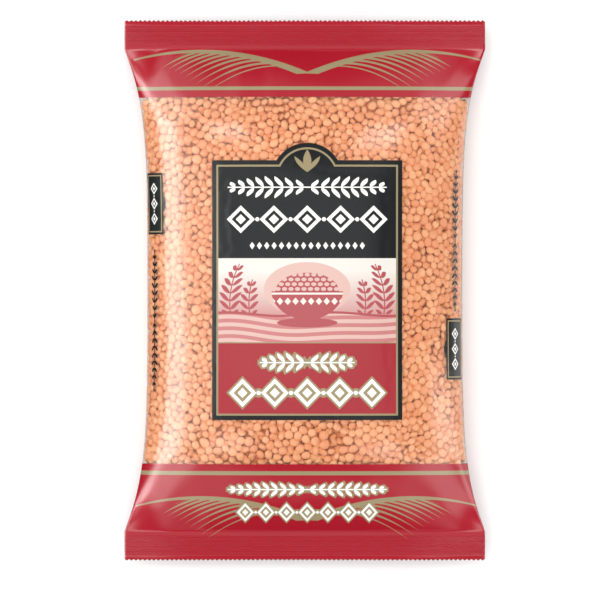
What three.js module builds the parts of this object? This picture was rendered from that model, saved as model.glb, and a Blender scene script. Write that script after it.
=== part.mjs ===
// A one kilogram pillow bag of red lentils, shut and lying on its back, built with three.js.
// The bag is a tube of clear film, filled tight and crimped flat at both ends. It is one closed solid:
// the two ends are ribbed seals with a pinked edge, the face shows a bump for each lentil that presses on
// the clear window, the printed label is the smooth patch in it, and the back carries the film's own seam.
// X runs across the bag, Y from its foot to its head and Z up from the table. Units are millimetres.
import * as THREE from "three";

// Driving dimensions.
const FLAT_WIDTH = 168; // the empty bag laid flat, which is half the girth of its film
const LENGTH = 252; // from one pinked edge to the other
const WAIST = 146.5; // the narrowest width of the full bag
const THICKNESS = 53; // at the middle of the full bag
const SIDE_LINE = 21.5; // height of the widest line at the middle
const SEAL_HEIGHT = 15.5; // height at which both end seals leave the bag
const SEAL_DEPTH = 13.5; // of each flat end
const FILM = 0.7; // the two films where they are sealed, drawn thicker than they are

// How the filled part swells between the seals.
const HALF_BODY = LENGTH / 2 - SEAL_DEPTH;
const FILL_POWER = 3.8; // higher gives a flatter top and a steeper end
const PRESSED = 4; // how much rounder the back would be if the table didn't press it flat
const PRESS_BLEND = 0.8; // height over which the flat back turns up into the round sides
const FLARE = { reach: 23, power: 1.15 }; // how the sides run out to the full width of the seals
const FACE_CURVE = { power: 2.3, root: 0.5 };
const BACK_CURVE = { power: 2.6, root: 0.46 };
const END_ROOT = 1.05; // near a seal the section is a lens with sharp sides
const ROUND_AT_FILL = 0.75; // share of the full thickness from which the sides are fully round

// Crimped ends.
const RIBS = { count: 8, pitch: 1.17, fromEdge: 2.2, height: 0.22 };
const TEETH = { count: 80, depth: 0.75 };
const SEAL_DROOP = 2.2; // how far the outer edge of a seal hangs
const SEAL_WAVE = { height: 1.1, turns: 1.5, atFold: 0.3 };
const SEAL_COLUMNS = 12;

// Soft gathers that run from each seal into the body, and the slow swell of the loose filling.
const GATHERS = { count: 11, height: 1.4, narrow: 4.55, wide: 9.1, peakAt: 7, reach: 0.86, lean: 0.25 };
const SWELL = { height: 0.9, across: 2.1, along: 3.4, acrossStart: 0.6, alongStart: 0.4 };
const SIDE_FADE = 8; // power by which gathers and swell die away at the side folds
const FIRST_DRAWS = { footFace: 11, headFace: 12, footBack: 13, headBack: 14, lentils: 5 };

// The face: a clear window lies between two printed bands, with the printed label in it.
const WINDOW = { foot: -80.4, head: 90.6 };
const LABEL = { centre: 1.3, halfWidth: 44.1, foot: -59.8, head: 61, archHalf: 13.7, archRise: 8 };
const LABEL_COLUMNS = 5; // its points in a row are few, as it is smooth

// Lentils under the window. Each is one raised point with six low points around it.
const LENTIL = { across: 4.75, proud: 0.5, gap: 0.38, shift: 0.4, uneven: 0.22 };
const LATTICE = { across: LENTIL.across / Math.sqrt(3), along: LENTIL.across / 2 };

// Distance between rows, and between points in a row, where the film is smooth.
const BAND_STEP = { along: 4.4, across: 5.5 };
const BACK_STEP = { along: 13, across: 9.5 };
const CLOSER = 0.45; // how much closer the points lie towards the side folds

// The seam where the film's two edges meet, folded flat on the back, with a groove along each side of it.
// The grooves reach their full depth where the bag has a third of its full thickness.
const SEAM = { halfWidth: 6, groove: 1.6, depth: 0.8, deepAtFill: 1 / 3 };
const FLAT_FROM_FILL = 0.5; // share of the full thickness from which the back is kept level

const blend = (from, to, share) => from + (to - from) * share;
const clamp01 = (value) => Math.min(1, Math.max(0, value));

// A repeatable random draw from 0 to 1.
function randomFrom(seed) {
  let state = seed;
  return () => {
    state = (state * 1664525 + 1013904223) >>> 0;
    return state / 2 ** 32;
  };
}

// Half width of the bag, and the heights of its section, at a place along it.
function sectionAt(y) {
  const inward = Math.max(0, HALF_BODY - Math.abs(y));
  const fill = 1 - Math.min(1, Math.abs(y) / HALF_BODY) ** FILL_POWER;
  const flare = Math.exp(-((inward / FLARE.reach) ** FLARE.power));
  return {
    fill,
    halfWidth: blend(WAIST, FLAT_WIDTH, flare) / 2,
    side: blend(SEAL_HEIGHT, SIDE_LINE, fill),
    above: (THICKNESS - SIDE_LINE) * fill,
    below: (SIDE_LINE + PRESSED) * fill,
  };
}

// Height of one film over the side line, at a share u of the section's half width.
function bulge(curve, u, section) {
  const root = blend(END_ROOT, curve.root, clamp01(section.fill / ROUND_AT_FILL));
  return Math.max(0, 1 - u ** curve.power) ** root;
}

function faceHeight(u, section) {
  return section.side + FILM / 2 + section.above * bulge(FACE_CURVE, u, section);
}

// The back is pressed level with the table, with a soft turn where it lifts off.
function backHeight(u, section) {
  const free = section.side - FILM / 2 - section.below * bulge(BACK_CURVE, u, section);
  if (free < -PRESS_BLEND) return 0;
  return free < PRESS_BLEND ? (free + PRESS_BLEND) ** 2 / (4 * PRESS_BLEND) : free;
}

// One half of a film's section, listed with the distance along the film from the middle line.
const SAMPLES = 90;
function sectionCurve(film, y) {
  const section = sectionAt(y);
  const height = film === "face" ? faceHeight : backHeight;
  const profile = [];
  for (let i = 0; i <= SAMPLES; i++) {
    const u = Math.sin((i / SAMPLES) * (Math.PI / 2));
    const x = u * section.halfWidth;
    const z = height(u, section);
    const last = profile[i - 1];
    const distance = last ? last.distance + Math.hypot(x - last.x, z - last.z) : 0;
    profile.push({ x, z, distance });
  }
  return { film, y, section, profile, reach: profile[SAMPLES].distance };
}

// Place and outward direction on a film, at a signed distance from the middle line.
function placeOn(curve, across) {
  const distance = Math.min(Math.abs(across), curve.reach);
  const next = Math.max(1, curve.profile.findIndex((p) => p.distance >= distance));
  const [a, b] = [curve.profile[next - 1], curve.profile[next]];
  const step = b.distance - a.distance;
  const share = (distance - a.distance) / step;
  const side = across < 0 ? -1 : 1;
  const out = curve.film === "face" ? 1 : -1;
  return {
    x: side * blend(a.x, b.x, share),
    z: blend(a.z, b.z, share),
    normal: [(-out * side * (b.z - a.z)) / step, (out * (b.x - a.x)) / step],
  };
}

// The gathers of each film at each end, drawn once.
function makeGathers(seed) {
  const random = randomFrom(seed);
  return Array.from({ length: GATHERS.count }, (_, i) => ({
    x: (blend(-1, 1, (i + random()) / GATHERS.count) * GATHERS.reach * FLAT_WIDTH) / 2,
    lean: blend(-1, 1, random()) * GATHERS.lean,
    height: blend(-1, 1, random()) * GATHERS.height,
    width: blend(GATHERS.narrow, GATHERS.wide, random()),
  }));
}
const gathers = {
  face: { foot: makeGathers(FIRST_DRAWS.footFace), head: makeGathers(FIRST_DRAWS.headFace) },
  back: { foot: makeGathers(FIRST_DRAWS.footBack), head: makeGathers(FIRST_DRAWS.headBack) },
};

function gatherLift(film, x, y) {
  const inward = HALF_BODY - Math.abs(y);
  if (inward <= 0) return 0;
  const strength = (inward / GATHERS.peakAt) * Math.exp(1 - inward / GATHERS.peakAt);
  const folds = gathers[film][y > 0 ? "head" : "foot"];
  return folds.reduce((sum, fold) => {
    const away = (x - fold.x - fold.lean * inward) / fold.width;
    return sum + strength * fold.height * Math.exp(-away * away);
  }, 0);
}

function swellLift(x, y, fill) {
  const acrossWave = Math.sin((x / WAIST) * SWELL.across * Math.PI + SWELL.acrossStart);
  const alongWave = Math.sin((y / LENGTH) * SWELL.along * Math.PI + SWELL.alongStart);
  return SWELL.height * fill * acrossWave * alongWave;
}

// The flat ends wave a little and hang at their outer edge. The wave fades out inside the body.
function sealLift(x, y) {
  const outward = Math.abs(y) - HALF_BODY;
  const out = clamp01(outward / SEAL_DEPTH);
  const turn = (x / FLAT_WIDTH) * 2 * Math.PI * SEAL_WAVE.turns;
  const wave = SEAL_WAVE.height * Math.sin(turn + Math.sign(y));
  const insideBody = SEAL_WAVE.atFold * Math.exp(outward / FLARE.reach);
  const fade = outward > 0 ? blend(SEAL_WAVE.atFold, 1, out) : insideBody;
  return wave * fade - SEAL_DROOP * out * out;
}

// Crimp ribs press the same wave into both films.
function ribLift(y) {
  const turn = (LENGTH / 2 - Math.abs(y) - RIBS.fromEdge) / RIBS.pitch;
  return turn < 0 || turn > RIBS.count ? 0 : RIBS.height * Math.cos(turn * 2 * Math.PI);
}

// A point of the solid's surface, at a distance across the film, raised by the relief and by a bump.
function filmPoint(curve, across, bump = 0, shiftAlong = 0) {
  const { film, section } = curve;
  const { x, z, normal } = placeOn(curve, across);
  const y = curve.y + shiftAlong;
  const inset = 1 - (Math.abs(x) / section.halfWidth) ** SIDE_FADE;
  let lift = sealLift(x, y) + ribLift(y);
  if (film === "face") lift += inset * (gatherLift(film, x, y) + swellLift(x, y, section.fill));
  if (film === "back") lift += inset * gatherLift(film, x, y) * (1 - section.fill);
  const height = z + lift + bump * normal[1];
  const onTable = film === "back" && z < PRESS_BLEND / 4 && section.fill > FLAT_FROM_FILL;
  return { across, x: x + bump * normal[0], y, z: onTable ? z + Math.abs(bump) : Math.max(0, height) };
}

// Steps from one side fold to the other, closer together towards the folds where the film turns.
function stepsAcross(reach, step, closer = CLOSER) {
  const count = Math.round((2 * reach) / step);
  return Array.from({ length: count + 1 }, (_, i) => {
    const share = blend(-1, 1, i / count);
    return reach * ((1 + closer / 2) * share - (closer / 2) * share ** 3);
  });
}

// A row of the smooth film. On the back the seam's grooves add three points each.
function smoothRow(film, y, step) {
  const curve = sectionCurve(film, y);
  const steps = stepsAcross(curve.reach, step);
  if (film === "face") return steps.map((across) => filmPoint(curve, across));
  const seamEdge = SEAM.halfWidth + SEAM.groove + step / 3;
  const sides = steps.filter((across) => Math.abs(across) > seamEdge);
  const deep = SEAM.depth * Math.min(1, curve.section.fill / SEAM.deepAtFill);
  const grooves = [-1, 1].flatMap((side) => [-1, 0, 1].map((place) => ({
    across: side * SEAM.halfWidth + (place * SEAM.groove) / 2,
    depth: place === 0 ? -deep : 0,
  })));
  const all = [...sides.map((across) => ({ across, depth: 0 })), ...grooves];
  all.sort((a, b) => a.across - b.across);
  return all.map((point) => filmPoint(curve, point.across, point.depth));
}

// Half of the label's width at a place along it: its head is a shallow arch in the middle.
function labelHalfWidth(y) {
  if (y < LABEL.foot || y > LABEL.head + LABEL.archRise) return 0;
  if (y <= LABEL.head) return LABEL.halfWidth;
  const radius = (LABEL.archHalf ** 2 + LABEL.archRise ** 2) / (2 * LABEL.archRise);
  const up = y - (LABEL.head + LABEL.archRise - radius);
  return Math.sqrt(radius * radius - up * up);
}

// A row of the clear window. Its points lie on a lattice of triangles, and every third one is a lentil.
function windowRow(rowIndex, y, random) {
  const curve = sectionCurve("face", y);
  const half = labelHalfWidth(y);
  const inLabel = (across) => Math.abs(across - LABEL.centre) < half + LATTICE.across / 2;
  const count = Math.ceil(curve.reach / LATTICE.across);
  const row = [filmPoint(curve, -curve.reach)];
  for (let column = -count; column <= count; column++) {
    const across = (column + (rowIndex % 2) / 2) * LATTICE.across;
    const draws = [random(), random(), random()];
    if (Math.abs(across) > curve.reach - LATTICE.across / 2 || inLabel(across)) continue;
    const isLentil = (((column - Math.floor(rowIndex / 2) - rowIndex) % 3) + 3) % 3 === 0;
    const bump = (isLentil ? LENTIL.proud : -LENTIL.gap) + blend(-1, 1, draws[0]) * LENTIL.uneven;
    const [shiftAcross, shiftAlong] = draws.slice(1).map((draw) => blend(-1, 1, draw) * LENTIL.shift);
    row.push({ ...filmPoint(curve, across + shiftAcross, bump, shiftAlong), across });
  }
  if (half > 0) {
    for (let i = 0; i <= LABEL_COLUMNS; i++) {
      row.push(filmPoint(curve, LABEL.centre + blend(-half, half, i / LABEL_COLUMNS)));
    }
  }
  row.push(filmPoint(curve, curve.reach));
  return row.sort((a, b) => a.across - b.across);
}

// The pinked edge of a seal: teeth cut across both films.
function pinkedRow(film, end) {
  return Array.from({ length: 2 * TEETH.count + 1 }, (_, i) => {
    const y = end * (LENGTH / 2 - (i % 2 ? 0 : TEETH.depth));
    const curve = sectionCurve(film, y);
    return filmPoint(curve, blend(-curve.reach, curve.reach, i / (2 * TEETH.count)));
  });
}

// The rows of one flat end, from its fold to its pinked edge.
function sealRows(film, end) {
  const rows = [];
  for (let half = 2 * RIBS.count; half >= 0; half--) {
    const y = end * (LENGTH / 2 - RIBS.fromEdge - (half / 2) * RIBS.pitch);
    const curve = sectionCurve(film, y);
    const steps = stepsAcross(curve.reach, (2 * curve.reach) / SEAL_COLUMNS, 0);
    rows.push(steps.map((across) => filmPoint(curve, across)));
  }
  rows.push(pinkedRow(film, end));
  return rows;
}

// Rows of smooth film from one place to another, without the row at the first place.
function bandRows(film, from, to, step) {
  const count = Math.round(Math.abs(to - from) / step.along);
  const places = Array.from({ length: count }, (_, i) => blend(from, to, (i + 1) / count));
  return places.map((y) => smoothRow(film, y, step.across));
}

function faceRows() {
  const random = randomFrom(FIRST_DRAWS.lentils);
  const count = Math.round((WINDOW.head - WINDOW.foot) / LATTICE.along);
  const rows = [...sealRows("face", -1).reverse()];
  rows.push(smoothRow("face", -HALF_BODY, BAND_STEP.across));
  rows.push(...bandRows("face", -HALF_BODY, WINDOW.foot, BAND_STEP));
  for (let i = 1; i < count; i++) {
    rows.push(windowRow(i, blend(WINDOW.foot, WINDOW.head, i / count), random));
  }
  rows.push(smoothRow("face", WINDOW.head, BAND_STEP.across));
  rows.push(...bandRows("face", WINDOW.head, HALF_BODY, BAND_STEP));
  rows.push(...sealRows("face", 1));
  return rows;
}

function backRows() {
  const rows = [...sealRows("back", -1).reverse()];
  rows.push(smoothRow("back", -HALF_BODY, BAND_STEP.across));
  rows.push(...bandRows("back", -HALF_BODY, WINDOW.foot, BAND_STEP));
  rows.push(...bandRows("back", WINDOW.foot, WINDOW.head, BACK_STEP));
  rows.push(...bandRows("back", WINDOW.head, HALF_BODY, BAND_STEP));
  rows.push(...sealRows("back", 1));
  return rows;
}

// Fills the strip between two chains of points with triangles, going along both by the given measure.
function stitch(triangles, lower, upper, measure, flip) {
  let [i, j] = [0, 0];
  while (i < lower.length - 1 || j < upper.length - 1) {
    const canLower = i < lower.length - 1;
    const canUpper = j < upper.length - 1;
    const useLower = canLower && (!canUpper || measure(lower[i + 1]) <= measure(upper[j + 1]));
    const third = useLower ? lower[i + 1] : upper[j + 1];
    triangles.push(flip ? [lower[i], upper[j], third] : [upper[j], lower[i], third]);
    i += useLower ? 1 : 0;
    j += useLower ? 0 : 1;
  }
}

// Joins the rows of both films, the side folds and the cut ends into one closed surface.
function closedBag(face, back) {
  const triangles = [];
  const byAcross = (point) => point.across;
  const byAlong = (point) => point.y;
  for (let i = 1; i < face.length; i++) {
    stitch(triangles, face[i - 1], face[i], byAcross, false);
  }
  for (let i = 1; i < back.length; i++) {
    stitch(triangles, back[i - 1], back[i], byAcross, true);
  }
  const leftFold = (rows) => rows.map((row) => row[0]);
  const rightFold = (rows) => rows.map((row) => row[row.length - 1]);
  stitch(triangles, leftFold(back), leftFold(face), byAlong, true);
  stitch(triangles, rightFold(back), rightFold(face), byAlong, false);
  stitch(triangles, back[0], face[0], byAcross, false);
  stitch(triangles, back[back.length - 1], face[face.length - 1], byAcross, true);
  return triangles;
}

function bagGeometry() {
  const points = [];
  const number = new Map();
  const triangles = closedBag(faceRows(), backRows());
  const index = triangles.flat().map((point) => {
    if (!number.has(point)) {
      number.set(point, number.size);
      points.push(point.x, point.y, point.z);
    }
    return number.get(point);
  });
  const geometry = new THREE.BufferGeometry();
  geometry.setAttribute("position", new THREE.Float32BufferAttribute(points, 3));
  geometry.setIndex(index);
  geometry.computeVertexNormals();
  return geometry;
}

const lentilsInFilm = new THREE.MeshStandardMaterial({ color: 0xe9a680, roughness: 0.4, metalness: 0 });
const bag = new THREE.Mesh(bagGeometry(), lentilsInFilm);
bag.name = "filled_bag";

const model = new THREE.Group();
model.add(bag);
export default model;
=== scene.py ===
# A one kilogram bag of red lentils, lying on its back: printed and clear film over loose lentils.
# X runs across the bag, Y from its foot to its head and Z up from the table. Blender's unit is the metre.
import math

import bpy
import numpy as np
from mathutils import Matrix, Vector, kdtree


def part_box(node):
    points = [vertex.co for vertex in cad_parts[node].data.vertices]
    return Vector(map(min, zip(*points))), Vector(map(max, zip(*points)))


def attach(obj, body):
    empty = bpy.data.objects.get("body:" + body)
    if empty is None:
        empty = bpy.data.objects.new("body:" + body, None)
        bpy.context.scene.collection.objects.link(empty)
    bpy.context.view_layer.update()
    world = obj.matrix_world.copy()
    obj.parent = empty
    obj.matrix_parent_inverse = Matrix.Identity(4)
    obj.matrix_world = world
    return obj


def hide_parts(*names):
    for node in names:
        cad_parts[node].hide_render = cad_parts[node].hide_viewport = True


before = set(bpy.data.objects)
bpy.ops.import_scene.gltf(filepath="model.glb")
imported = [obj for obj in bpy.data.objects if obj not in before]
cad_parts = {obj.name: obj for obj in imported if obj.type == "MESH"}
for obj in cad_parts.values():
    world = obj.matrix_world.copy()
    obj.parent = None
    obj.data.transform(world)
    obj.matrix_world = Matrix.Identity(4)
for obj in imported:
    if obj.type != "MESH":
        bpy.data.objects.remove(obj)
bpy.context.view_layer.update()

MM = 0.001
BAG = "filled_bag"
BAG_LOW, BAG_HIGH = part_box(BAG)

# The bag's form, as its solid has it.
FLAT_WIDTH = BAG_HIGH[0] - BAG_LOW[0]
LENGTH = BAG_HIGH[1] - BAG_LOW[1]
WAIST = 146.5 * MM
THICKNESS = 53 * MM
SIDE_LINE = 21.5 * MM  # height of the widest line at the middle
SEAL_HEIGHT = 15.5 * MM
SEAL_DEPTH = 13.5 * MM
FILM = 0.4 * MM  # both films of a seal together
HALF_BODY = LENGTH / 2 - SEAL_DEPTH
FILL_POWER = 3.8
PRESSED = 4 * MM
PRESS_BLEND = 0.8 * MM
FLARE_REACH = 23 * MM
FLARE_POWER = 1.15
CURVE = {"face": (2.3, 0.5), "back": (2.6, 0.46)}  # power and root of each film's section
END_ROOT = 1.05
ROUND_AT_FILL = 0.75
SECTION_POINTS = 160
RIB_COUNT = 8
RIB_PITCH = 1.17 * MM
RIB_FROM_EDGE = 2.2 * MM
RIB_HEIGHT = 0.22 * MM
TEETH = 80
TOOTH_DEPTH = 0.75 * MM
SEAL_DROOP = 2.2 * MM
WAVE_HEIGHT = 1.1 * MM
WAVE_TURNS = 1.5
WAVE_AT_FOLD = 0.3
GATHER_COUNT = 11
GATHER_HEIGHT = 1.4 * MM
GATHER_WIDTH = 6.5 * MM
GATHER_WIDTH_SHARES = (0.7, 1.4)
GATHER_PEAK = 7 * MM
GATHER_REACH = 0.86
GATHER_LEAN = 0.25
SWELL = 0.9 * MM
SWELL_ACROSS = (2.1, 0.6)  # half turns over the bag and the phase, in radians
SWELL_ALONG = (3.4, 0.4)
SIDE_FADE = 8
SEAM_HALF = 6 * MM
SEAM_GROOVE = 1.6 * MM
SEAM_DEPTH = 0.8 * MM
SEAM_GROWTH = 3  # the grooves reach their depth at one third of the fill
FIRM_FILL = 0.5  # where the bag is filled this far, its pressed back lies flat on the table

# Places of the print, along and across the film.
WINDOW_FOOT = -80.6 * MM
WINDOW_HEAD = 89.7 * MM
LABEL_CENTRE = 1.1 * MM
LABEL_HALF = 44.4 * MM
LABEL_FOOT = -60 * MM
LABEL_HEAD = 60.1 * MM
ARCH_HALF = 14.2 * MM
ARCH_RISE = 8.05 * MM
ARCH_RADIUS = (ARCH_HALF**2 + ARCH_RISE**2) / (2 * ARCH_RISE)
PLAQUE_INNER = 69.0  # in millimetres of film from the middle line, as the print is drawn
PLAQUE_OUTER = 81.5
PLAQUE_HALF = 14.2
PLAQUE_LEFT = 40.2  # along the bag
PLAQUE_RIGHT = -27.2
SPRIG_LEFT = -14.0
SPRIG_RIGHT = 23.0
BACK_SHIFT = 0.5  # the back's print coordinates lie this far to the right of the face's

# Lentils.
LENTIL_ACROSS = 4.5 * MM
LENTIL_THICK = 2.5 * MM
LENTIL_PITCH = 3.9 * MM
UNDER_PRINT = 5.5 * MM  # how far the lentils go on under the edge of opaque print
FOLD_TRIM = 3.6 * MM  # how far from the side fold the back's lentils stop, where the face's begin
SHARP_FOLD = 2 * MM  # from this far inside the window's ends outward, the side fold is too sharp for lentils
FOLD_CLEAR = 6 * MM  # how far they keep off it there
SIZE_SPREAD = 0.11
SIZE_LIMITS = (0.76, 1.22)
PLUMPNESS = (0.86, 1.12)
STRETCH = (1.0, 1.12)
MOST_LEAN = np.radians(82)
LEAN_POWER = 2.1  # most lentils lie nearly flat against the film
MOST_SUNK = 0.3
SAG_ROOM = 1.2  # room for the film's sag, as a share of it
UNEVENNESS = 0.03
RIM_POWER = 0.86
DOME_POWER = 1.1
RIM_DENT = 0.09
RIM_DENTS = 3
TOUCHING = 0.93  # share of two lentils' mean width at which they count as fitted
PUSHES = 26
PUSH = 0.3  # share of an overlap that one push takes away
FILM_SAG = 0.08 * MM  # of the film between the lentils that it rests on
FLOOR_GAP = 0.1 * MM  # between the lowest lentils and the table
UNDER_DEPTH = 1.1 * MM  # of the second layer below the first
CORE_DEPTH = 4.6 * MM
CORE_OVERLAP = 1.4 * UNDER_PRINT  # how far the core goes on past the window's head

FILM_STEP = 1.25 * MM
FIRST_STEP = 1.3 * MM  # from the pinked edge to the film's second row
NORMAL_STEP = 0.4 * MM
PLACE_ROWS = 60
CORE_STEP = 5 * MM
CORE_ACROSS = 41


def blend(start, end, share):
    return start + (end - start) * share


DRAW_FACTOR = 1664525
DRAW_STEP = 1013904223
DRAW_RANGE = 2**32


def random_from(seed):
    """The same repeatable draws, from 0 to 1, that shaped the solid's folds."""
    state = seed
    while True:
        state = (state * DRAW_FACTOR + DRAW_STEP) % DRAW_RANGE
        yield state / DRAW_RANGE


def section_at(y):
    """Half width of the bag and the heights of its section at a place along it."""
    inward = max(0.0, HALF_BODY - abs(y))
    fill = 1 - min(1.0, abs(y) / HALF_BODY) ** FILL_POWER
    flare = math.exp(-((inward / FLARE_REACH) ** FLARE_POWER))
    return {
        "fill": fill,
        "half_width": blend(WAIST, FLAT_WIDTH, flare) / 2,
        "side": blend(SEAL_HEIGHT, SIDE_LINE, fill),
        "above": (THICKNESS - SIDE_LINE) * fill,
        "below": (SIDE_LINE + PRESSED) * fill,
    }


def film_height(film, u, section):
    """Height of a film over the table, at shares u of the section's half width."""
    power, root = CURVE[film]
    root = blend(END_ROOT, root, min(1.0, section["fill"] / ROUND_AT_FILL))
    bulge = np.clip(1 - u**power, 0, None) ** root
    if film == "face":
        return section["side"] + FILM / 2 + section["above"] * bulge
    free = section["side"] - FILM / 2 - section["below"] * bulge
    turning = (free + PRESS_BLEND) ** 2 / (4 * PRESS_BLEND)
    return np.where(free < -PRESS_BLEND, 0, np.where(free < PRESS_BLEND, turning, free))


SAMPLES = np.sin(np.linspace(0, math.pi / 2, SECTION_POINTS))


def section_curve(film, y):
    """One half of a film's section: x, z and the distance along the film from the middle line."""
    section = section_at(y)
    x = SAMPLES * section["half_width"]
    z = film_height(film, SAMPLES, section)
    distance = np.concatenate([[0], np.cumsum(np.hypot(np.diff(x), np.diff(z)))])
    return section, x, z, distance


def film_reach(film, y):
    """Distance along a film from the middle line to the side fold."""
    return section_curve(film, y)[3][-1]


def make_gathers(seed):
    draw = random_from(seed)
    folds = []
    for i in range(GATHER_COUNT):
        place = blend(-1, 1, (i + next(draw)) / GATHER_COUNT) * GATHER_REACH * FLAT_WIDTH / 2
        lean = blend(-1, 1, next(draw)) * GATHER_LEAN
        height = blend(-1, 1, next(draw)) * GATHER_HEIGHT
        width = blend(*GATHER_WIDTH_SHARES, next(draw)) * GATHER_WIDTH
        folds.append((place, lean, height, width))
    return folds


GATHERS = {
    "face": {-1: make_gathers(11), 1: make_gathers(12)},
    "back": {-1: make_gathers(13), 1: make_gathers(14)},
}


def gather_lift(film, x, y):
    inward = HALF_BODY - abs(y)
    if inward <= 0:
        return 0 * x
    strength = inward / GATHER_PEAK * math.exp(1 - inward / GATHER_PEAK)
    folds = GATHERS[film][1 if y > 0 else -1]
    return strength * sum(
        height * np.exp(-(((x - place - lean * inward) / width) ** 2)) for place, lean, height, width in folds
    )


def swell_lift(x, y, fill):
    across_wave = np.sin(x / WAIST * SWELL_ACROSS[0] * math.pi + SWELL_ACROSS[1])
    along_wave = math.sin(y / LENGTH * SWELL_ALONG[0] * math.pi + SWELL_ALONG[1])
    return SWELL * fill * across_wave * along_wave


def seal_lift(x, y):
    """The flat ends wave a little and hang at their outer edge. The wave fades out inside the body."""
    outward = abs(y) - HALF_BODY
    out = min(1.0, max(0.0, outward / SEAL_DEPTH))
    wave = WAVE_HEIGHT * np.sin(x / FLAT_WIDTH * 2 * math.pi * WAVE_TURNS + np.sign(y))
    fade = blend(WAVE_AT_FOLD, 1, out) if outward > 0 else WAVE_AT_FOLD * math.exp(outward / FLARE_REACH)
    return wave * fade - SEAL_DROOP * out * out


def rib_lift(y):
    turn = (LENGTH / 2 - abs(y) - RIB_FROM_EDGE) / RIB_PITCH
    if turn < 0 or turn > RIB_COUNT:
        return 0.0
    return RIB_HEIGHT * math.cos(turn * 2 * math.pi)


def seam_dent(x, fill):
    """Depth of the two grooves beside the folded seam of the back."""
    off_groove = np.abs(np.abs(x) - SEAM_HALF) / (SEAM_GROOVE / 2)
    return SEAM_DEPTH * min(1.0, SEAM_GROWTH * fill) * np.clip(1 - off_groove, 0, 1)


def film_points(film, across, y):
    """Points of a film at signed distances from the middle line, all at one place along the bag."""
    section, xs, zs, distance = section_curve(film, y)
    away = np.abs(across)
    x = np.sign(across) * np.interp(away, distance, xs)
    z = np.interp(away, distance, zs)
    inset = 1 - (np.abs(x) / section["half_width"]) ** SIDE_FADE
    lift = seal_lift(x, y) + rib_lift(y)
    if film == "face":
        lift = lift + inset * (gather_lift(film, x, y) + swell_lift(x, y, section["fill"]))
        return np.stack([x, np.full_like(x, y), z + lift], axis=-1)
    lift = lift + inset * gather_lift(film, x, y) * (1 - section["fill"])
    pressed = (z < PRESS_BLEND / 4) & (section["fill"] > FIRM_FILL)
    height = np.where(pressed, z, np.maximum(0, z + lift))
    return np.stack([x, np.full_like(x, y), height + seam_dent(x, section["fill"])], axis=-1)


def film_frames(film, places):
    """Points and outward normals of a film at places given as (across, along)."""
    step = NORMAL_STEP
    side = 1 if film == "face" else -1
    points, normals = [], []
    for across, along in places:
        here = np.array([across - step, across, across + step])
        left, centre, right = film_points(film, here, along)
        ahead = film_points(film, here[1:2], along + step)[0]
        behind = film_points(film, here[1:2], along - step)[0]
        normal = side * np.cross(right - left, ahead - behind)
        points.append(centre)
        normals.append(normal / np.linalg.norm(normal))
    return np.array(points), np.array(normals)


def link(name, mesh):
    piece = bpy.data.objects.new(name, mesh)
    bpy.context.scene.collection.objects.link(piece)
    return piece


# The film.

def film_rows():
    """Places along the bag of the film's rows: fine over the ribs, wider over the body."""
    half_rib = RIB_PITCH / 4
    seal = [LENGTH / 2, LENGTH / 2 - FIRST_STEP]
    count = int(round((SEAL_DEPTH - RIB_FROM_EDGE) / half_rib))
    seal += [LENGTH / 2 - RIB_FROM_EDGE - i * half_rib for i in range(count)]
    body = np.linspace(-HALF_BODY, HALF_BODY, int(2 * HALF_BODY / FILM_STEP))
    return np.concatenate([-np.array(seal), body, np.array(seal)[::-1]])


def film_sheet(film, rows, touching):
    """Grid of points of one film, with its print coordinates. It sags between the lentils it touches."""
    shares = np.linspace(-1, 1, 2 * TEETH + 1)
    grid = np.zeros((len(rows), len(shares), 3))
    print_at = np.zeros((len(rows), len(shares), 2))
    for i, y in enumerate(rows):
        across = shares * film_reach(film, y)
        grid[i] = film_points(film, across, y)
        print_at[i, :, 0] = across + (BACK_SHIFT if film == "back" else 0)
        print_at[i, :, 1] = y
    for row, end in ((0, -1), (-1, 1)):
        grid[row, ::2, 1] -= end * TOOTH_DEPTH
    sag_between_lentils(film, grid, rows, touching)
    return grid, print_at


def sag_between_lentils(film, grid, rows, touching):
    tree = kdtree.KDTree(len(touching))
    for i, point in enumerate(touching):
        tree.insert(point, i)
    tree.balance()
    normals = np.cross(np.gradient(grid, axis=1), np.gradient(grid, axis=0))
    normals /= np.linalg.norm(normals, axis=-1, keepdims=True)
    side = 1 if film == "face" else -1
    for i, y in enumerate(rows):
        if not WINDOW_FOOT < y < WINDOW_HEAD:
            continue
        for j in range(grid.shape[1]):
            away = tree.find(grid[i, j])[2] / (LENTIL_ACROSS / 2)
            if away < 2 and grid[i, j, 2] > FILM:
                grid[i, j] -= side * normals[i, j] * FILM_SAG * min(1.0, away) ** 2


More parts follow.
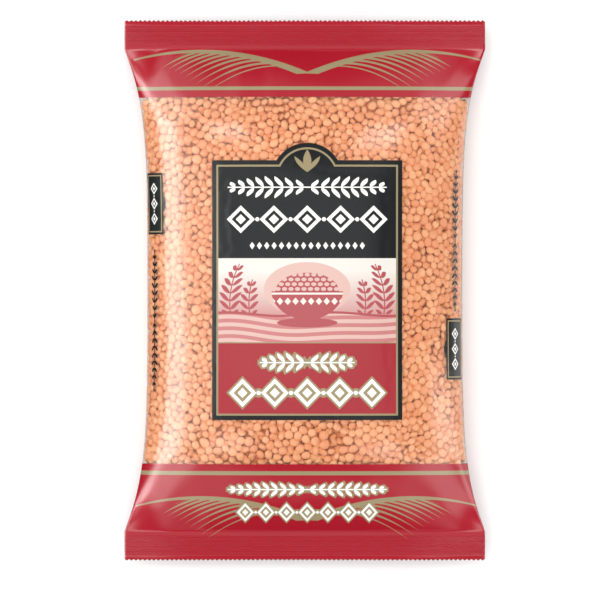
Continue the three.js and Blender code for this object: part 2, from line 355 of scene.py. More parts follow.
def make_film(touching):
    """One closed skin: the face, the back, and the narrow walls that join them round the edge."""
    rows = film_rows()
    sheets = {film: film_sheet(film, rows, touching[film]) for film in ("face", "back")}
    count, width = sheets["face"][0].shape[:2]
    number = {film: np.arange(count * width).reshape(count, width) + i * count * width
              for i, film in enumerate(("face", "back"))}
    faces, prints = [], []

    def add(corners, spots):
        faces.append([int(corner) for corner in corners])
        prints.extend(spots)

    for film in ("face", "back"):
        index, spot = number[film], sheets[film][1]
        for i in range(count - 1):
            for j in range(width - 1):
                loop = [(i, j), (i, j + 1), (i + 1, j + 1), (i + 1, j)]
                if film == "back":
                    loop.reverse()
                add([index[place] for place in loop], [spot[place] for place in loop])
    face, back = number["face"], number["back"]
    face_print = sheets["face"][1]
    for j, turn in ((0, 1), (width - 1, -1)):
        for i in range(count - 1):
            loop = [face[i, j], face[i + 1, j], back[i + 1, j], back[i, j]][::turn]
            spots = [face_print[i, j], face_print[i + 1, j], face_print[i + 1, j], face_print[i, j]][::turn]
            add(loop, spots)
    for i, turn in ((0, -1), (count - 1, 1)):
        for j in range(width - 1):
            loop = [face[i, j], face[i, j + 1], back[i, j + 1], back[i, j]][::turn]
            spots = [face_print[i, j], face_print[i, j + 1], face_print[i, j + 1], face_print[i, j]][::turn]
            add(loop, spots)
    points = np.concatenate([sheets[film][0].reshape(-1, 3) for film in ("face", "back")])
    mesh = bpy.data.meshes.new("film")
    mesh.from_pydata(points.tolist(), [], faces)
    layer = mesh.uv_layers.new(name="print")
    layer.data.foreach_set("uv", np.array(prints).ravel())
    mesh.shade_smooth()
    return link("film", mesh)


# The lentils.

def arch_half_width(y):
    """Half of the label's width at a place along the bag, with its arched head."""
    if y < LABEL_FOOT or y > LABEL_HEAD + ARCH_RISE:
        return 0.0
    if y <= LABEL_HEAD:
        return LABEL_HALF
    up = y - (LABEL_HEAD + ARCH_RISE - ARCH_RADIUS)
    return math.sqrt(ARCH_RADIUS**2 - up**2)


def lentil_places(film, pitch, draw):
    """Places and sizes of one layer of lentils: thrown at random, then pushed apart until they fit."""
    rows = np.linspace(WINDOW_FOOT - UNDER_PRINT, WINDOW_HEAD + UNDER_PRINT, PLACE_ROWS)
    trim = FOLD_TRIM if film == "back" else 0
    reach = np.array([film_reach(film, y) - trim for y in rows])
    area = 2 * reach.max() * (rows[-1] - rows[0])
    count = int(area / (pitch**2 * math.sqrt(3) / 2))
    places = draw.uniform((-reach.max(), rows[0]), (reach.max(), rows[-1]), (count, 2))
    size = np.clip(draw.normal(1.0, SIZE_SPREAD, count), *SIZE_LIMITS)
    for _ in range(PUSHES):
        places += overlap_pushes(places, size)
        places[:, 1] = np.clip(places[:, 1], rows[0], rows[-1])
        limit = np.interp(places[:, 1], rows, reach)
        places[:, 0] = np.clip(places[:, 0], -limit, limit)
    at_end = (places[:, 1] > WINDOW_HEAD - SHARP_FOLD) | (places[:, 1] < WINDOW_FOOT + SHARP_FOLD)
    fits = ~at_end | (limit + trim - np.abs(places[:, 0]) > FOLD_CLEAR)
    shown = [i for i in range(count) if fits[i] and (film == "back" or not under_label(places[i]))]
    return places[shown], size[shown]


def overlap_pushes(places, size):
    """How far each lentil is pushed by the ones that it overlaps."""
    tree = kdtree.KDTree(len(places))
    for i, (x, y) in enumerate(places):
        tree.insert((x, y, 0), i)
    tree.balance()
    pushes = np.zeros_like(places)
    for i, (x, y) in enumerate(places):
        for other, j, distance in tree.find_range((x, y, 0), LENTIL_ACROSS * SIZE_LIMITS[1]):
            wanted = (size[i] + size[j]) * LENTIL_ACROSS / 2 * TOUCHING
            if 0 < distance < wanted:
                share = PUSH * (wanted - distance) / distance
                pushes[i] += share * (x - other[0]), share * (y - other[1])
    return pushes


def under_label(place):
    """Whether a place is so far under the label that no lentil there can be seen."""
    across, along = place
    half_width = arch_half_width(along + math.copysign(UNDER_PRINT, along))
    return abs(across - LABEL_CENTRE) < half_width - UNDER_PRINT


def lentil_cloud(name, film, pitch, depth, seed):
    """Points that carry each lentil's direction, lean, size and tint, just under the film."""
    draw = np.random.default_rng(seed)
    places, size = lentil_places(film, pitch, draw)
    touching, outward = film_frames(film, places)
    count = len(places)
    plump = draw.uniform(*PLUMPNESS, count)
    stretch = draw.uniform(*STRETCH, count)
    lean = MOST_LEAN * draw.random(count) ** LEAN_POWER
    half_thick = LENTIL_THICK / 2 * size * plump * (1 + UNEVENNESS)
    half_across = LENTIL_ACROSS / 2 * size * stretch * (1 + UNEVENNESS)
    reach_up = np.sqrt((half_thick * np.cos(lean)) ** 2 + (half_across * np.sin(lean)) ** 2)
    sunk = depth + FILM_SAG * SAG_ROOM + draw.uniform(0, MOST_SUNK, count) * MM
    centres = touching - outward * (reach_up + sunk)[:, None]
    mesh = bpy.data.meshes.new(name + "_points")
    mesh.from_pydata(centres.tolist(), [], [])
    store(mesh, "outward", "FLOAT_VECTOR", outward)
    store(mesh, "lean", "FLOAT", lean)
    store(mesh, "turn", "FLOAT", draw.uniform(0, 2 * math.pi, count))
    store(mesh, "stretch", "FLOAT_VECTOR", np.stack([size * stretch, size / stretch, size * plump], axis=-1))
    store(mesh, "tint", "FLOAT", draw.random(count))
    return link(name + "_points", mesh), touching


def store(mesh, name, kind, values):
    attribute = mesh.attributes.new(name, kind, "POINT")
    field = "vector" if kind == "FLOAT_VECTOR" else "value"
    attribute.data.foreach_set(field, np.asarray(values, dtype=np.float32).ravel())


def lentil_seed(name, segments, rings):
    """One dry split lentil: a lens with a rounded rim, lying flat."""
    points = [(0, 0, LENTIL_THICK / 2)]
    for i in range(1, rings):
        slope = math.pi * i / rings
        radius = LENTIL_ACROSS / 2 * math.sin(slope) ** RIM_POWER
        height = LENTIL_THICK / 2 * math.copysign(abs(math.cos(slope)) ** DOME_POWER, math.cos(slope))
        for j in range(segments):
            turn = 2 * math.pi * (j + 0.5 * (i % 2)) / segments
            dent = 1 - RIM_DENT * (0.5 + 0.5 * math.sin(RIM_DENTS * turn + 1.0))
            points.append((dent * radius * math.cos(turn), dent * radius * math.sin(turn), height))
    points.append((0, 0, -LENTIL_THICK / 2))
    last = len(points) - 1
    faces = []
    for j in range(segments):
        after = (j + 1) % segments
        faces.append((0, 1 + j, 1 + after))
        faces.append((last, last - segments + after, last - segments + j))
    for i in range(rings - 2):
        upper, lower = 1 + i * segments, 1 + (i + 1) * segments
        for j in range(segments):
            after = (j + 1) % segments
            faces.append((upper + j, lower + j, lower + after, upper + after))
    mesh = bpy.data.meshes.new(name)
    mesh.from_pydata(points, [], faces)
    mesh.shade_smooth()
    return link(name, mesh)


def scatter_tree():
    """Geometry Nodes that set a lentil on each point, turned and sized by the point's own values."""
    tree = bpy.data.node_groups.new("set lentils", "GeometryNodeTree")
    face = tree.interface
    face.new_socket("Points", in_out="INPUT", socket_type="NodeSocketGeometry")
    face.new_socket("Lentil", in_out="INPUT", socket_type="NodeSocketObject")
    face.new_socket("Size", in_out="INPUT", socket_type="NodeSocketFloat").default_value = 1.0
    face.new_socket("Unevenness", in_out="INPUT", socket_type="NodeSocketFloat").default_value = UNEVENNESS
    face.new_socket("Seed", in_out="INPUT", socket_type="NodeSocketInt")
    face.new_socket("Finish", in_out="INPUT", socket_type="NodeSocketMaterial")
    face.new_socket("Lentils", in_out="OUTPUT", socket_type="NodeSocketGeometry")
    nodes, links = tree.nodes, tree.links

    def named(name, kind="FLOAT"):
        node = nodes.new("GeometryNodeInputNamedAttribute")
        node.data_type = kind
        node.inputs["Name"].default_value = name
        return node.outputs["Attribute"]

    def euler(axis, value):
        node = nodes.new("ShaderNodeCombineXYZ")
        links.new(value, node.inputs[axis])
        turn = nodes.new("FunctionNodeEulerToRotation")
        links.new(node.outputs[0], turn.inputs[0])
        return turn.outputs[0]

    def rotate(rotation, by):
        node = nodes.new("FunctionNodeRotateRotation")
        node.rotation_space = "LOCAL"
        links.new(rotation, node.inputs["Rotation"])
        links.new(by, node.inputs["Rotate By"])
        return node.outputs[0]

    given = nodes.new("NodeGroupInput").outputs
    upright = nodes.new("FunctionNodeAlignRotationToVector")
    upright.axis = "Z"
    links.new(named("outward", "FLOAT_VECTOR"), upright.inputs["Vector"])
    turned = rotate(upright.outputs[0], euler("Z", named("turn")))
    leaning = rotate(turned, euler("X", named("lean")))

    uneven = nodes.new("FunctionNodeRandomValue")
    uneven.data_type = "FLOAT"
    limits = [s for s in uneven.inputs if s.type == "VALUE"]
    for operation, limit in zip(("SUBTRACT", "ADD"), limits):
        bound = nodes.new("ShaderNodeMath")
        bound.operation = operation
        links.new(given["Size"], bound.inputs[0])
        links.new(given["Unevenness"], bound.inputs[1])
        links.new(bound.outputs[0], limit)
    links.new(given["Seed"], uneven.inputs["Seed"])
    drawn = next(s for s in uneven.outputs if s.type == "VALUE")
    scale = nodes.new("ShaderNodeVectorMath")
    scale.operation = "SCALE"
    links.new(named("stretch", "FLOAT_VECTOR"), scale.inputs[0])
    links.new(drawn, scale.inputs["Scale"])

    lentil = nodes.new("GeometryNodeObjectInfo")
    links.new(given["Lentil"], lentil.inputs["Object"])
    place = nodes.new("GeometryNodeInstanceOnPoints")
    links.new(given["Points"], place.inputs["Points"])
    links.new(lentil.outputs["Geometry"], place.inputs["Instance"])
    links.new(leaning, place.inputs["Rotation"])
    links.new(scale.outputs[0], place.inputs["Scale"])
    realize = nodes.new("GeometryNodeRealizeInstances")
    links.new(place.outputs[0], realize.inputs[0])
    finish = nodes.new("GeometryNodeSetMaterial")
    links.new(realize.outputs[0], finish.inputs["Geometry"])
    links.new(given["Finish"], finish.inputs["Material"])
    out = nodes.new("NodeGroupOutput")
    links.new(finish.outputs[0], out.inputs[0])
    return tree


def make_lentils(name, film, pitch, depth, seed, lentil, tree, finish):
    """Scatters one layer of lentils and returns it as a plain mesh, with where it touches the film."""
    points, touching = lentil_cloud(name, film, pitch, depth, seed)
    modifier = points.modifiers.new("lentils", "NODES")
    modifier.node_group = tree
    values = {"Lentil": lentil, "Size": 1.0, "Unevenness": UNEVENNESS, "Seed": seed, "Finish": finish}
    for item in tree.interface.items_tree:
        if item.in_out == "INPUT" and item.name in values:
            modifier[item.identifier] = values[item.name]
    depsgraph = bpy.context.evaluated_depsgraph_get()
    mesh = bpy.data.meshes.new_from_object(points.evaluated_get(depsgraph), depsgraph=depsgraph)
    points.modifiers.remove(modifier)
    bpy.data.objects.remove(points)
    mesh.name = name
    mesh.shade_smooth()
    corners = np.zeros(3 * len(mesh.vertices))
    mesh.vertices.foreach_get("co", corners)
    corners[2::3] = np.maximum(corners[2::3], FLOOR_GAP)
    mesh.vertices.foreach_set("co", corners)
    return link(name, mesh), touching


# The core behind the lentils.

def make_core():
    """A closed body below both layers of lentils, which closes the view between them."""
    half = WINDOW_HEAD + CORE_OVERLAP
    rows = np.linspace(-half, half, int(2 * half / CORE_STEP))
    rings = []
    for y in rows:
        ring = []
        for film, way in (("face", 1), ("back", -1)):
            reach = film_reach(film, y)
            across = np.linspace(-reach, reach, CORE_ACROSS)[1:-1] * way
            points, normals = film_frames(film, [(a, y) for a in across])
            inner = points - normals * CORE_DEPTH
            inner[:, 1] = y
            ring.extend(inner.tolist())
        rings.append(ring)
    size = len(rings[0])
    points = [point for ring in rings for point in ring]
    faces = []
    for i in range(len(rings) - 1):
        for j in range(size):
            after = (j + 1) % size
            a, b = i * size, (i + 1) * size
            faces.append((a + j, a + after, b + after, b + j))
    for ring, turn in ((0, 1), (len(rings) - 1, -1)):
        middle = len(points)
        points.append(np.mean(rings[ring], axis=0).tolist())
        for j in range(size):
            after = (j + 1) % size
            corners = (middle, ring * size + after, ring * size + j)
            faces.append(corners[::turn])
    mesh = bpy.data.meshes.new("lentil_core")
    mesh.from_pydata(points, [], faces)
    mesh.shade_smooth()
    return link("lentil_core", mesh)


# Materials.

class Field:
    """A number that varies over a surface, with the usual arithmetic made of math nodes."""

    def __init__(self, tree, socket):
        self.tree = tree
        self.socket = socket

    def math(self, operation, *others, clamp=False):
        node = self.tree.nodes.new("ShaderNodeMath")
        node.operation = operation
        node.use_clamp = clamp
        for value, socket in zip((self, *others), node.inputs):
            if isinstance(value, Field):
                self.tree.links.new(value.socket, socket)
            else:
                socket.default_value = value
        return Field(self.tree, node.outputs[0])

    def __add__(self, other):
        return self.math("ADD", other)

    def __sub__(self, other):
        return self.math("SUBTRACT", other)

    def __mul__(self, other):
        return self.math("MULTIPLY", other)

    def __truediv__(self, other):
        return self.math("DIVIDE", other)

    def __abs__(self):
        return self.math("ABSOLUTE")

    def __and__(self, other):
        return self.math("MINIMUM", other)

    def __or__(self, other):
        return self.math("MAXIMUM", other)

    def below(self, limit):
        return self.math("LESS_THAN", limit)

    def above(self, limit):
        return self.math("GREATER_THAN", limit)

    def outside(self):
        return (self * -1).math("ADD", 1.0)

    def clamped(self):
        return self.math("ADD", 0.0, clamp=True)


def new_material(name):
    material = bpy.data.materials.new(name)
    material.use_nodes = True
    material.node_tree.nodes.clear()
    return material, material.node_tree


def shader(tree, kind, **inputs):
    node = tree.nodes.new(kind)
    for name, value in inputs.items():
        socket = node.inputs[name.replace("_", " ")]
        if hasattr(value, "is_linked") or isinstance(value, Field):
            tree.links.new(value.socket if isinstance(value, Field) else value, socket)
        else:
            socket.default_value = value
    return node.outputs[0]


def linear(red, green, blue):
    """A colour as a screen gives it, from 0 to 255, as the shader's linear values."""
    def channel(value):
        value /= 255
        return value / 12.92 if value <= 0.04045 else ((value + 0.055) / 1.055) ** 2.4
    return (channel(red), channel(green), channel(blue), 1.0)


def mix_colour(tree, share, first, second):
    node = tree.nodes.new("ShaderNodeMix")
    node.data_type = "RGBA"
    factor = next(s for s in node.inputs if s.identifier == "Factor_Float")
    inputs = [s for s in node.inputs if s.type == "RGBA"]
    tree.links.new(share.socket, factor)
    for value, socket in zip((first, second), inputs):
        if isinstance(value, tuple):
            socket.default_value = value
        else:
            tree.links.new(value, socket)
    return next(s for s in node.outputs if s.type == "RGBA")


def mix_shader(tree, share, first, second):
    node = tree.nodes.new("ShaderNodeMixShader")
    tree.links.new(share.socket, node.inputs[0])
    tree.links.new(first, node.inputs[1])
    tree.links.new(second, node.inputs[2])
    return node.outputs[0]


def noise(tree, vector, scale, detail=2.0):
    node = tree.nodes.new("ShaderNodeTexNoise")
    node.inputs["Scale"].default_value = scale
    node.inputs["Detail"].default_value = detail
    tree.links.new(vector, node.inputs["Vector"])
    return Field(tree, node.outputs[0])


def object_coordinates(tree):
    return tree.nodes.new("ShaderNodeTexCoord").outputs["Object"]


def output(tree, surface):
    node = tree.nodes.new("ShaderNodeOutputMaterial")
    tree.links.new(surface, node.inputs["Surface"])


RED = linear(160, 8, 31)
PANEL_RED = linear(158, 39, 49)
GOLD = linear(147, 133, 99)
BLACK = linear(31, 33, 34)
CREAM = linear(216, 211, 203)
WHITE = linear(236, 234, 228)
BLUSH = linear(206, 170, 161)
PINK = linear(186, 117, 115)
ROSE = linear(166, 76, 80)
FILM_IOR = 1.8  # stands for the two faces of the film, which both reflect
INK_GLOSS_LIMIT = 0.15  # share of light that the creased film reflects at a low angle
FILM_GLOSS_LIMIT = 0.24


def oval(x, y, half_x, half_y):
    """Inside of an ellipse round the origin of x and y."""
    return ((x / half_x) * (x / half_x) + (y / half_y) * (y / half_y)).below(1.0)


def between(value, low, high):
    return value.above(low) & value.below(high)


def box(x, y, low_x, high_x, low_y, high_y):
    return between(x, low_x, high_x) & between(y, low_y, high_y)


def in_cells(along, pitch):
    """Distance from the middle of the nearest of many equal cells along a line."""
    cells = along / pitch
    return (cells - cells.math("FLOOR") - 0.5) * pitch


def blade(across, rise, tall, half_width):
    """Inside of a pointed leaf that stands on the line where rise is zero."""
    middle = rise / tall * 2.0 - 1.0
    return (abs(across) + middle * middle * half_width).below(half_width) & rise.below(tall)


def garland(along, rise, reach, pitch, tall, half_width, grow=0.0):
    """Two leafy sprays that run from the middle to both ends, smaller towards the tips."""
    out, up = abs(along), abs(rise)
    swell = (out / reach * math.pi).math("SINE") * 0.55 + 0.45
    slanted = out - up * 0.75
    leaves = blade(in_cells(slanted, pitch), up, swell * tall + grow, half_width + grow)
    stem = up.below(0.28 + grow) & out.below(reach + 1.0 + grow)
    return (leaves & between(slanted, -grow, reach)) | stem


def lozenge(x, y, half_x, half_y):
    return (abs(x) / half_x + abs(y) / half_y).below(1.0)


def lozenges(x, y, count, pitch, half_x, half_y, grow=0.0):
    """A centred row of hollow lozenges, each round a small solid one, with a dot between neighbours."""
    cell = in_cells(x + (pitch / 2 if count % 2 else 0.0), pitch)
    between_cells = in_cells(x + (0.0 if count % 2 else pitch / 2), pitch)
    shape = lozenge(cell, y, half_x + grow, half_y + grow)
    hollow = lozenge(cell, y, half_x * 0.66 - grow, half_y * 0.66 - grow).outside()
    heart = lozenge(cell, y, half_x * 0.36 + grow, half_y * 0.36 + grow)
    row = ((shape & hollow) | heart) & abs(x).below(pitch * count / 2)
    dots = oval(between_cells, y, half_y * 0.15 + grow, half_y * 0.15 + grow)
    return row | (dots & abs(x).below(pitch * (count - 1) / 2))


def strokes(x, y, peak):
    """Gold strokes that hang from an arched line on each side and sweep outward, ever thinner."""
    peak_out, edge_out, curvature = 49.0, 81.0, 0.0044
    pitch, innermost, longest, half_weight = 5.3, 2.5, 46.0, 0.5
    out = abs(x)
    off_peak = out - peak_out
    depth = off_peak * off_peak * -curvature - y + peak
    thick = (out * 0.45 + 0.8) & (out * -0.031 + 3.2)
    arch = depth.above(0.0) & (depth - thick).below(0.0)
    first, growth = 0.15, 0.007  # slope of a stroke where it leaves the arch, and how fast it steepens
    run = ((depth * (4 * growth) + first * first).math("SQRT") - first) / (2 * growth)
    start = out - run
    length = start * -0.52 + longest
    taper = (run / length).outside()
    slope = run * (2 * growth) + first
    half_thick = (taper * 1.25) & half_weight
    off_middle = abs(in_cells(start, pitch)) * slope
    stroke = (off_middle - half_thick).below(0.0) & between(start, innermost, peak_out)
    return (arch | (stroke & depth.above(0.0))) & out.below(edge_out)


def band_inks(x, y, on_face):
    """The red ends: a gold line by the window, gold strokes, and white ornament with gold edges."""
    foot, head = WINDOW_FOOT / MM, WINDOW_HEAD / MM
    lines = between(y, head + 3.2, head + 4.9) | between(y, foot - 5.1, foot - 3.2)
    swept = (strokes(x, y, 112.1) & y.above(head + 3.0)) | (strokes(x, y, -95.6) & between(y, -117.5, foot))
    leaf_y, row_y = y + 92.4, y + 103.2
    edge = garland(x, leaf_y, 36.0, 4.0, 3.4, 1.1, 0.8) | lozenges(x, row_y, 7, 9.6, 4.0, 4.4, 0.9)
    white = garland(x, leaf_y, 36.0, 4.0, 3.4, 1.1) | lozenges(x, row_y, 7, 9.6, 4.0, 4.4)
    return [(lines, GOLD), (swept & on_face, GOLD), (edge & on_face, GOLD), (white & on_face, WHITE)]


def label_outline(x, y, inset):
    """The label's shape, a box with a shallow arch over it, drawn in by an inset."""
    half, foot, head = LABEL_HALF / MM - inset, LABEL_FOOT / MM + inset, LABEL_HEAD / MM - inset
    radius = ARCH_RADIUS / MM - inset
    centre = (LABEL_HEAD + ARCH_RISE - ARCH_RADIUS) / MM
    arch = oval(x, y - centre, radius, radius) & y.above(head - 1.0)
    return box(abs(x), y, -1.0, half, foot, head) | arch


def picture_inks(x, y, picture):
    """A plain still life in pinks on cream: a heaped bowl on a rippled cloth, between leafy stems."""
    wall = ((y * -1.0 + 9.0) / 24.0).clamped()
    disc = oval(x, y - 0.5, 20.0, 12.5)
    side = abs(x)
    bend = (y + 6.0) * (y + 6.0) * 0.014
    far_stems = garland(y + 14.0, side - 36.0 + bend, 25.2, 3.6, 5.4, 1.2) & y.above(-11.0)
    near_stems = garland(y + 14.0, side - 27.0 + bend, 18.0, 3.6, 4.6, 1.1) & y.above(-11.0)
    cloth_y = y + 10.5 - (x / 8.0).math("SINE") * 0.8
    cloth = cloth_y.below(0.0)
    fold_y = cloth_y + (x / 13.0 + 1.0).math("SINE") * 1.2
    folds = abs(in_cells(fold_y, 3.6)).below(0.9) & cloth
    edge = between(cloth_y, -1.1, 0.0)
    bowl_y = y + 0.5
    heap = oval(x, bowl_y, 14.6, 8.6) & bowl_y.above(0.0)
    row_step = (bowl_y / 2.2).math("FLOOR") * 1.5
    grains = oval(in_cells(x + row_step, 3.0), in_cells(bowl_y, 2.2), 1.2, 0.86) & heap
    bowl = (oval(x, bowl_y, 16.5, 13.0) & bowl_y.below(0.0)) | box(side, y, -1.0, 6.2, -15.0, -12.6)
    rim = between(bowl_y, -1.5, -0.6) & bowl
    band = lozenge(in_cells(x, 3.6), bowl_y + 4.6, 1.5, 1.7) & bowl
    shade = oval(x, y + 15.0, 14.0, 2.2)
    inks = [(wall, PINK), (disc, BLUSH), (far_stems, ROSE), (near_stems, ROSE)]
    inks += [(cloth, BLUSH), (folds, PINK), (edge, ROSE), (shade, ROSE)]
    inks += [(heap, ROSE), (grains, BLUSH), (bowl, ROSE), (rim | band, CREAM)]
    return [(mask & picture, colour) for mask, colour in inks]


def label_inks(x, y, on_face):
    """The label: a black panel, a picture and a red panel inside a black frame with a gold line."""
    label = label_outline(x, y, 0.0) & on_face
    line = label_outline(x, y, 2.05) & on_face
    inner = label_outline(x, y, 2.95) & on_face
    picture = inner & between(y, -24.0, 14.8)
    red_panel = inner & y.below(-24.5)
    crest_y = y - 54.6
    crest = blade(x, crest_y, 10.5, 1.9) | blade(abs(x) - crest_y * 0.8, crest_y, 7.4, 1.4)
    head_leaf_y, head_row_y = y - 47.6, y - 32.8
    head_rows = garland(x, head_leaf_y, 36.0, 4.5, 5.2, 1.3) | lozenges(x, head_row_y, 5, 15.4, 6.6, 6.4)
    dots = lozenge(in_cells(x, 3.4), y - 20.6, 1.2, 1.7) & abs(x).below(27.2)
    leaf_y, row_y = y + 33.4, y + 47.4
    edge = garland(x, leaf_y, 21.0, 4.2, 4.6, 1.2, 1.0) | lozenges(x, row_y, 5, 15.0, 6.4, 6.6, 1.2)
    white = garland(x, leaf_y, 21.0, 4.2, 4.6, 1.2) | lozenges(x, row_y, 5, 15.0, 6.4, 6.6)
    inks = [(label, BLACK), (line, GOLD), (inner, BLACK)]
    inks += [(crest & inner, GOLD), ((head_rows | dots) & inner, WHITE), (inner & y.below(-24.0), GOLD)]
    inks += [(picture, CREAM), *picture_inks(x, y, picture)]
    inks += [(red_panel, PANEL_RED), (edge & red_panel, GOLD), (white & red_panel, WHITE)]
    return label, inks


def plaque_inks(across, along):
    """A small black plaque with a gold line on each side of the face."""
    side = abs(across)
    middle = (PLAQUE_INNER + PLAQUE_OUTER) / 2
    y = along - (across.above(0.0) * (PLAQUE_RIGHT - PLAQUE_LEFT) + PLAQUE_LEFT)

    def outline(inset):
        return box(side, abs(y), PLAQUE_INNER + inset, PLAQUE_OUTER - inset, -1.0, PLAQUE_HALF - inset)

    tab = oval(side - PLAQUE_INNER - 0.6, y, 1.9, 4.2)
    plaque = outline(0.0) | tab
    line = outline(0.9) & outline(1.5).outside()
    heart = lozenges(y, side - middle, 3, 7.0, 2.8, 2.6)
    sprig_y = along - (across.above(0.0) * (SPRIG_RIGHT - SPRIG_LEFT) + SPRIG_LEFT)
    sprig = garland(sprig_y, side - middle, 32.0, 3.4, 2.6, 0.8)
    return plaque | sprig, [(plaque | sprig, BLACK), (line, GOLD), (heart & plaque, WHITE)]


def lay_inks(tree, colour, inks):
    for mask, ink in inks:
        colour = mix_colour(tree, mask, colour, ink)
    return colour


def make_film_material():
    """The film: bands, label and plaques are opaque ink, and the rest is clear and glossy."""
    material, tree = new_material("printed film")
    uv = tree.nodes.new("ShaderNodeUVMap")
    uv.uv_map = "print"
    split = tree.nodes.new("ShaderNodeSeparateXYZ")
    tree.links.new(uv.outputs[0], split.inputs[0])
    across = Field(tree, split.outputs[0]) / MM
    y = Field(tree, split.outputs[1]) / MM
    x = across - LABEL_CENTRE / MM
    on_face = across.below(BACK_SHIFT / MM / 2)

    bands = y.below(WINDOW_FOOT / MM) | y.above(WINDOW_HEAD / MM)
    label, label_layers = label_inks(x, y, on_face)
    plaque, plaque_layers = plaque_inks(across, y)
    colour = lay_inks(tree, RED, [*band_inks(x, y, on_face), *label_layers, *plaque_layers])
    ink = bands | label | plaque
    seam = abs(across - BACK_SHIFT / MM).below(SEAM_HALF / MM)

    fresnel = Field(tree, shader(tree, "ShaderNodeFresnel", IOR=FILM_IOR))
    gloss = shader(tree, "ShaderNodeBsdfGlossy", Color=(1, 1, 1, 1), Roughness=0.22)
    flat_ink = shader(tree, "ShaderNodeBsdfDiffuse", Color=colour)
    printed = mix_shader(tree, fresnel & INK_GLOSS_LIMIT, flat_ink, gloss)
    through = shader(tree, "ShaderNodeBsdfTransparent", Color=(0.99, 0.985, 0.98, 1))
    milky = shader(tree, "ShaderNodeBsdfDiffuse", Color=(0.9, 0.8, 0.74, 1))
    clear = mix_shader(tree, fresnel & FILM_GLOSS_LIMIT, through, gloss)
    clear = mix_shader(tree, seam * 0.2 + 0.025, clear, milky)
    output(tree, mix_shader(tree, ink, clear, printed))
    return material


def make_lentil_material(name, light, dark):
    """Dry lentils between a light and a dark colour, each with its own tint, mottled and dull. The top layers
    get pale peach orange; the lower layers' darker pair is painted shade.
    """
    material, tree = new_material(name)
    tint = tree.nodes.new("ShaderNodeAttribute")
    tint.attribute_name = "tint"
    own = Field(tree, tint.outputs["Fac"])
    place = object_coordinates(tree)
    mottle = noise(tree, place, 900.0)
    share = (own * 0.8 + mottle * 0.5 - 0.15).clamped()
    colour = mix_colour(tree, share, light, dark)
    bump = tree.nodes.new("ShaderNodeBump")
    bump.inputs["Strength"].default_value = 0.25
    bump.inputs["Distance"].default_value = 0.1 * MM
    tree.links.new(noise(tree, place, 2600.0).socket, bump.inputs["Height"])
    normal = bump.outputs[0]
    output(tree, shader(tree, "ShaderNodeBsdfPrincipled", Base_Color=colour, Roughness=0.55, Normal=normal))
    return material


def make_core_material():
    material, tree = new_material("inner lentils painted shade")
    mottle = noise(tree, object_coordinates(tree), 260.0)
    # The core's deep orange is painted shade: it stands for lentils deeper in the bag, in the shade between
    # and under the two layers.
    colour = mix_colour(tree, mottle, linear(222, 130, 70), linear(234, 150, 86))
    output(tree, shader(tree, "ShaderNodeBsdfPrincipled", Base_Color=colour, Roughness=0.8))
    return material


# The stage.

def make_floor():
    mesh = bpy.data.meshes.new("floor")
    half = 3.0
    corners = [(-half, -half, 0), (half, -half, 0), (half, half, 0), (-half, half, 0)]
    mesh.from_pydata(corners, [], [(0, 1, 2, 3)])
    floor = link("floor", mesh)
    material, tree = new_material("pale floor")
    output(tree, shader(tree, "ShaderNodeBsdfDiffuse", Color=(0.9, 0.9, 0.9, 1)))
    mesh.materials.append(material)
    floor.visible_glossy = False


def add_area(name, place, aim, size, glow, seen_by):
    """A soft box of an even glow. It either lights the bag or is only seen as a gloss on its film."""
    data = bpy.data.lights.new(name, "AREA")
    data.shape = "RECTANGLE"
    data.size, data.size_y = size
    data.energy = glow * math.pi * size[0] * size[1]
    light = bpy.data.objects.new(name, data)
    light.location = place
    light.rotation_euler = (Vector(aim) - Vector(place)).to_track_quat("-Z", "Y").to_euler()
    light.visible_camera = False
    light.visible_diffuse = seen_by == "diffuse"
    light.visible_glossy = seen_by == "gloss"
    bpy.context.scene.collection.objects.link(light)


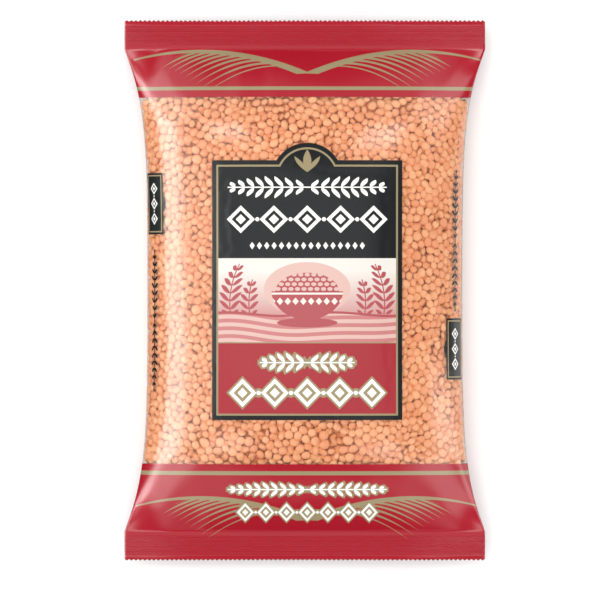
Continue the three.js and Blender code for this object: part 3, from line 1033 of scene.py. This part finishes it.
def light_stage():
    world = bpy.data.worlds.new("studio")
    world.use_nodes = True
    world.node_tree.nodes["Background"].inputs[0].default_value = (1, 1, 1, 1)
    world.node_tree.nodes["Background"].inputs[1].default_value = 1.1
    bpy.context.scene.world = world
    world.cycles_visibility.glossy = False
    middle = (0, 0, 0.03)
    add_area("key", (-0.22, 0.16, 1.6), middle, (1.2, 1.2), 2.8, "diffuse")
    add_area("fill_left", (-0.9, 0.0, 0.3), middle, (1.2, 0.5), 0.5, "diffuse")
    add_area("fill_right", (0.9, 0.0, 0.3), middle, (1.2, 0.5), 0.35, "diffuse")
    add_area("sheen_above", (0.0, 0.0, 2.2), middle, (2.0, 2.0), 0.3, "gloss")
    add_area("strip_left", (-0.7, 0.0, 0.32), middle, (1.0, 0.3), 4.5, "gloss")
    add_area("haze_left", (-0.8, 0.0, 0.8), middle, (1.2, 0.6), 0.9, "gloss")
    add_area("low_right", (0.4, 0.0, -0.2), (0.07, 0.0, 0.03), (1.2, 0.35), 0.8, "gloss")
    add_area("patch_right", (0.42, -0.125, 0.12), (0.065, -0.059, 0.037), (0.14, 0.3), 2.2, "gloss")
    for y, seal_glow in ((-1, 2.0), (1, 3.6)):
        add_area("end_haze", (0.0, y * 0.8, 0.28), middle, (0.9, 0.25), 0.3, "gloss")
        for x, corner_glow in ((-1, 1.8), (1, 1.3)):
            add_area("corner", (x * 0.68, y * 0.61, 0.44), middle, (0.6, 0.3), corner_glow, "gloss")
            add_area("corner_haze", (x * 0.6, y * 0.72, 0.3), middle, (1.0, 0.6), corner_glow * 0.2, "gloss")
            seal_end = (x * 0.08, y * 0.12, 0.02)
            add_area("seal_end", (x * 0.1, y * 0.2, 0.2), seal_end, (0.07, 0.05), seal_glow, "gloss")


def place_camera():
    """Straight over the bag from far off, with the framing of the photo."""
    height = 4.0
    frame_width = 279.2 * MM
    centre = (-2.25 * MM, -4.5 * MM)
    data = bpy.data.cameras.new("camera")
    data.sensor_width = 36
    data.lens = data.sensor_width * (height - SIDE_LINE) / frame_width
    camera = bpy.data.objects.new("camera", data)
    camera.location = (*centre, height)
    bpy.context.scene.collection.objects.link(camera)
    bpy.context.scene.camera = camera
    bpy.context.scene.view_settings.view_transform = "Standard"


# Assembly.

place_camera()
make_floor()
light_stage()

pale = make_lentil_material("pale lentils", linear(238, 177, 128), linear(227, 147, 97))
# The lower layers get a darker copy of the lentil colours: painted shade, for the shade that falls in the
# gaps between the top lentils.
shaded = make_lentil_material("lower lentils painted shade", linear(232, 162, 104), linear(222, 140, 82))
tree = scatter_tree()
whole = lentil_seed("lentil_fine", 10, 5)
plain = lentil_seed("lentil_plain", 8, 4)

layers = [
    ("lentils_face", "face", LENTIL_PITCH, 0.0, 21, whole, pale),
    ("lentils_face_lower", "face", LENTIL_PITCH * 1.02, UNDER_DEPTH, 22, plain, shaded),
    ("lentils_back", "back", LENTIL_PITCH, 0.0, 23, plain, pale),
    ("lentils_back_lower", "back", LENTIL_PITCH * 1.05, UNDER_DEPTH, 24, plain, shaded),
]
touching = {}
pieces = []
for name, film, pitch, depth, seed, lentil, finish in layers:
    layer, contacts = make_lentils(name, film, pitch, depth, seed, lentil, tree, finish)
    touching.setdefault(film, contacts)
    pieces.append(layer)
for lentil in (whole, plain):
    bpy.data.objects.remove(lentil)

core = make_core()
core.data.materials.append(make_core_material())
pieces.append(core)

film = make_film(touching)
film.data.materials.append(make_film_material())
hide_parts(BAG)
pieces.append(film)
for piece in pieces:
    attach(piece, "root")
